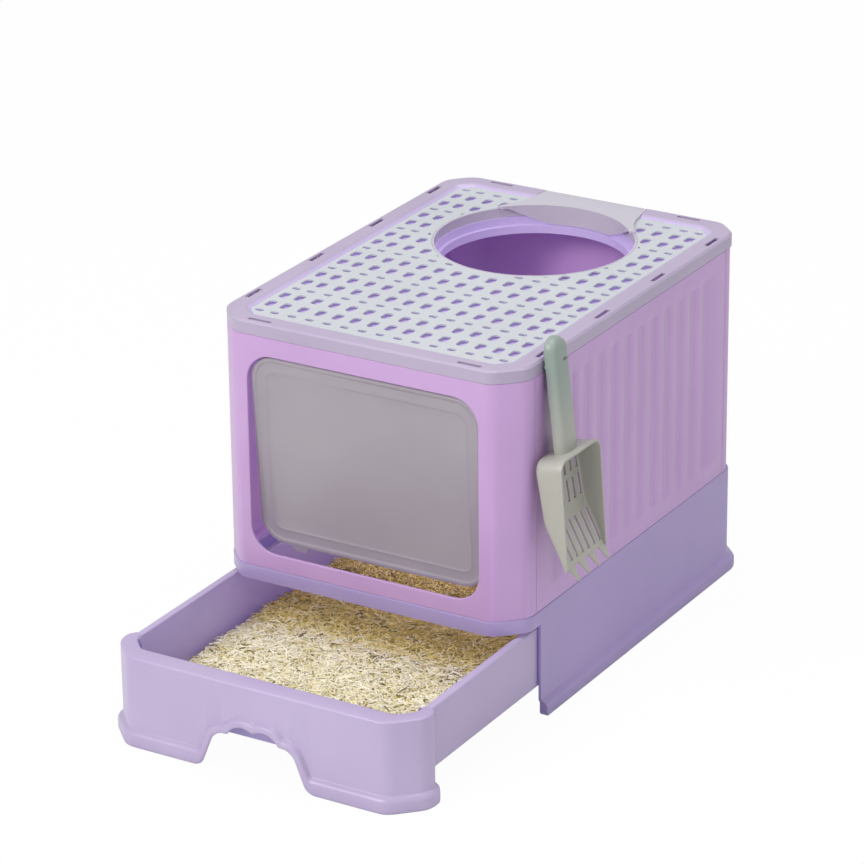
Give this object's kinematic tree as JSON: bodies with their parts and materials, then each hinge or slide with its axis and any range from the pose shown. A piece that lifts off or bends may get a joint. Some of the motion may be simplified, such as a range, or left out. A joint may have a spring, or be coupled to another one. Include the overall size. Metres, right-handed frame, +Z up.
{
  "type": "drawer litter box",
  "caption": "Closed litter box for a cat with a pull-out drawer, a swinging flap door, a lift-off lid with a perforated plate and a round top entry, and a hooked scoop.",
  "frame": {"origin": "on the ground, under the middle of the bounding box", "axes": "+X to the scoop's side, +Y from the drawer's front to the back panel, +Z up"},
  "size_m": [0.4134, 0.7136, 0.4094],
  "materials": {
    "base_plastic": "soft gloss",
    "panel_plastic": "soft gloss",
    "lid_plastic": "soft gloss",
    "plate_plastic": "soft gloss",
    "smoke_plastic": "translucent, lightly frosted",
    "scoop_plastic": "satin",
    "litter": "matt pressed pellets"
  },
  "bodies": {
    "box": {"base_shell": "base_plastic", "front_panel": "panel_plastic", "back_panel": "panel_plastic", "left_panel": "panel_plastic", "right_panel": "panel_plastic"},
    "drawer": {"drawer_tray": "base_plastic", "litter_bed": "litter"},
    "lid": {"lid_frame": "lid_plastic", "scoop_hook": "scoop_plastic"},
    "plate": {"perforated_plate": "plate_plastic"},
    "ring": {"entry_ring": "smoke_plastic"},
    "door": {"front_door": "smoke_plastic", "door_pins": "smoke_plastic"},
    "scoop": {"scoop": "scoop_plastic"}
  },
  "joints": [
    {"name": "drawer_slide", "type": "slide", "parent": "box", "child": "drawer", "axis": [0, -1, 0], "range_m": [-0.205, 0.29]},
    {"name": "lid_lift", "type": "slide", "parent": "box", "child": "lid", "axis": [0, 0, 1], "range_m": [0, 0.12]},
    {"name": "plate_lift", "type": "slide", "parent": "lid", "child": "plate", "axis": [0, 0, 1], "range_m": [0, 0.1]},
    {"name": "ring_lift", "type": "slide", "parent": "plate", "child": "ring", "axis": [0, 0, 1], "range_m": [0, 0.1]},
    {"name": "door_hinge", "type": "hinge", "parent": "box", "child": "door", "pos_m": [-0.02056, -0.1314, 0.35], "axis": [1, 0, 0], "range_deg": [-4, 75]},
    {"name": "scoop_lift", "type": "slide", "parent": "lid", "child": "scoop", "axis": [0, 0, 1], "range_m": [0, 0.08]}
  ]
}
